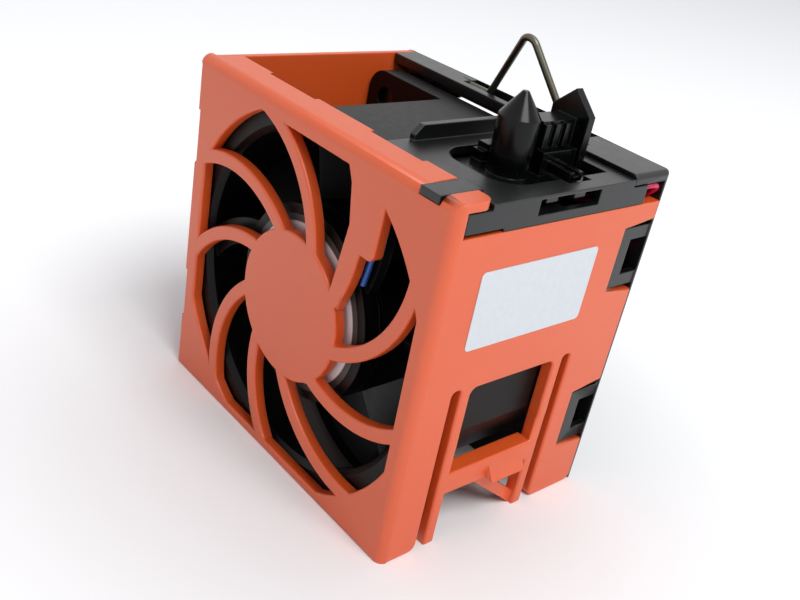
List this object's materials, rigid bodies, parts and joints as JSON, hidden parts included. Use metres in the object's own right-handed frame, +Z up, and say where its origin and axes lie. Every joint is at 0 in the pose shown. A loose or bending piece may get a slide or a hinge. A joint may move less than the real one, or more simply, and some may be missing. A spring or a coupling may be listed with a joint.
{
  "type": "server fan module",
  "caption": "Hot-swap fan module: axial fan in a clip-on shroud with a swirl grille, side latches, a blind-mate connector with guide post and a wire bail.",
  "frame": {"origin": "centre of the module's footprint, on the surface that it stands on with its connector up", "axes": "+X across the module towards the connector's side, +Y along the air path from the grille to the rear frame, +Z up towards the connector"},
  "size_m": [0.0684, 0.0478, 0.0753],
  "materials": {
    "shroud": "satin moulded orange plastic",
    "right_latch": "satin moulded orange plastic",
    "left_latch": "satin moulded orange plastic",
    "rear_frame": "satin moulded black plastic",
    "connector_deck": "satin moulded black plastic",
    "connector_housing": "moulded black plastic",
    "connector_contacts": "gold-flashed strip",
    "fan_frame": "moulded black plastic",
    "impeller": "moulded black plastic",
    "rotor_yoke": "zinc-plated drawn steel",
    "rotor_magnet": "bonded ferrite",
    "rotor_boss": "turned brass",
    "rotor_shaft": "ground steel",
    "shaft_clip": "spring steel",
    "bearing_tube": "turned brass",
    "front_bearing_outer": "ground bearing steel",
    "rear_bearing_outer": "ground bearing steel",
    "front_bearing_inner": "ground bearing steel",
    "rear_bearing_inner": "ground bearing steel",
    "front_bearing_balls": "polished balls",
    "rear_bearing_balls": "polished balls",
    "preload_spring": "spring steel",
    "stator_core": "stamped laminations",
    "front_insulator": "moulded insulator",
    "rear_insulator": "moulded insulator",
    "stator_coils": "enamelled copper wire",
    "driver_board": "solder-masked board",
    "board_chips": "epoxy packages",
    "lead_red": "insulated lead",
    "lead_yellow": "insulated lead",
    "lead_black": "insulated lead",
    "lead_blue": "insulated lead",
    "bail": "drawn spring wire",
    "side_label": "blank paper label",
    "motor_label": "blank foil label"
  },
  "bodies": {
    "module": {"shroud": "shroud", "rear_frame": "rear_frame", "connector_deck": "connector_deck", "connector_housing": "connector_housing", "connector_contacts": "connector_contacts", "fan_frame": "fan_frame", "bearing_tube": "bearing_tube", "front_bearing_outer": "front_bearing_outer", "rear_bearing_outer": "rear_bearing_outer", "front_bearing_balls": "front_bearing_balls", "rear_bearing_balls": "rear_bearing_balls", "stator_core": "stator_core", "front_insulator": "front_insulator", "rear_insulator": "rear_insulator", "stator_coils": "stator_coils", "driver_board": "driver_board", "board_chips": "board_chips", "lead_red": "lead_red", "lead_yellow": "lead_yellow", "lead_black": "lead_black", "lead_blue": "lead_blue", "side_label": "side_label", "motor_label": "motor_label"},
    "rotor": {"impeller": "impeller", "rotor_yoke": "rotor_yoke", "rotor_magnet": "rotor_magnet", "rotor_boss": "rotor_boss", "rotor_shaft": "rotor_shaft", "shaft_clip": "shaft_clip", "front_bearing_inner": "front_bearing_inner", "rear_bearing_inner": "rear_bearing_inner", "preload_spring": "preload_spring"},
    "right_latch": {"right_latch": "right_latch"},
    "left_latch": {"left_latch": "left_latch"},
    "bail": {"bail": "bail"}
  },
  "joints": [
    {"name": "rotor_spin", "type": "hinge", "parent": "module", "child": "rotor", "pos_m": [0, 0, 0.03], "axis": [0, 1, 0], "continuous": true},
    {"name": "right_latch_flex", "type": "hinge", "parent": "module", "child": "right_latch", "pos_m": [0.0314, 0, 0.0205], "axis": [0, 1, 0], "range_deg": [0, 9], "stiffness_Nm_per_rad": 0.3},
    {"name": "left_latch_flex", "type": "hinge", "parent": "module", "child": "left_latch", "pos_m": [-0.0314, 0, 0.0205], "axis": [0, -1, 0], "range_deg": [0, 9], "stiffness_Nm_per_rad": 0.3},
    {"name": "bail_swing", "type": "hinge", "parent": "module", "child": "bail", "pos_m": [0.00245, 0.0213, 0.06155], "axis": [-1, 0, 0], "range_deg": [-30, 55]}
  ]
}
